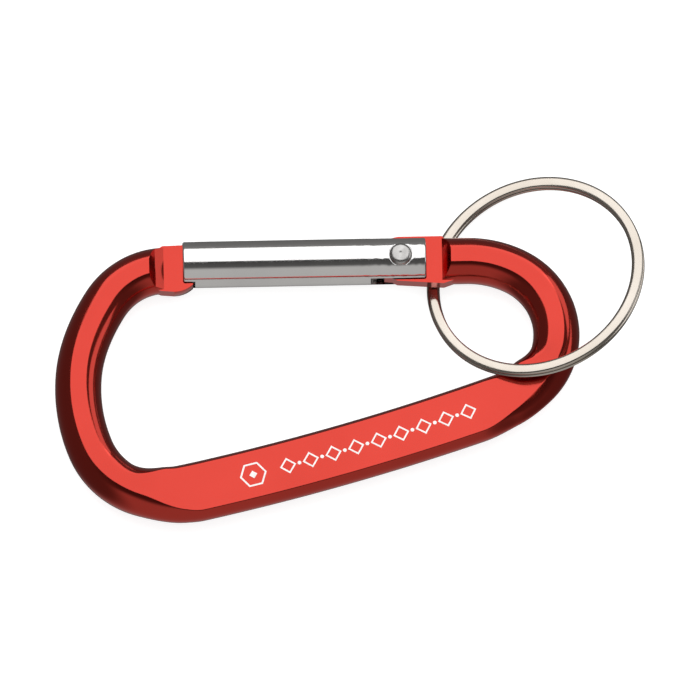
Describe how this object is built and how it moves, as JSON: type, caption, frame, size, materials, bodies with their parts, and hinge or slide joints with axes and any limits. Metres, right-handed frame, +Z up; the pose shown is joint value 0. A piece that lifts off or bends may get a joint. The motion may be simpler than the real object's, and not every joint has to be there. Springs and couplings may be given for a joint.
{
  "type": "carabiner keyring",
  "caption": "Snap-hook keyring: bent flattened bar body, sprung turned gate on a rivet, and a split ring through the small end.",
  "frame": {"origin": "centre of the overall box in X and Y, on the surface the keyring lies on", "axes": "+X from the nose (gate-opening) end to the hinge and split-ring end, +Y from the spine side to the gate side, +Z up, square to the plane of the body"},
  "size_m": [0.0792, 0.048, 0.0102],
  "materials": {
    "red_anodised": "polished, dyed red",
    "polished_aluminium": "turned and polished",
    "rivet_steel": "plain",
    "spring_steel": "drawn wire",
    "nickel": "nickel plated"
  },
  "bodies": {
    "frame": {"frame": "red_anodised"},
    "gate": {"gate": "polished_aluminium", "rivet": "rivet_steel", "gate_spring": "spring_steel"},
    "plunger": {"plunger": "rivet_steel"},
    "split_ring": {"split_ring": "nickel"}
  },
  "joints": [
    {"name": "gate_swing", "type": "hinge", "parent": "frame", "child": "gate", "pos_m": [0.007, 0.01233, 0.00368], "axis": [0, 0, 1], "range_deg": [0, 45], "stiffness_Nm_per_rad": 0.03, "springref_deg": -68.75},
    {"name": "plunger_slide", "type": "slide", "parent": "gate", "child": "plunger", "axis": [1, 0, 0], "range_m": [-0.0009, 0], "deforming": ["gate_spring"]},
    {"name": "ring_swing", "type": "hinge", "parent": "frame", "child": "split_ring", "pos_m": [0.01839, 0.01191, 0.00057], "axis": [-0.6584, -0.5336, 0.5309], "range_deg": [0, 170]}
  ],
  "couplings": [
    {"joint": "plunger_slide", "follows": "gate_swing", "m_per_rad": -0.001126}
  ]
}
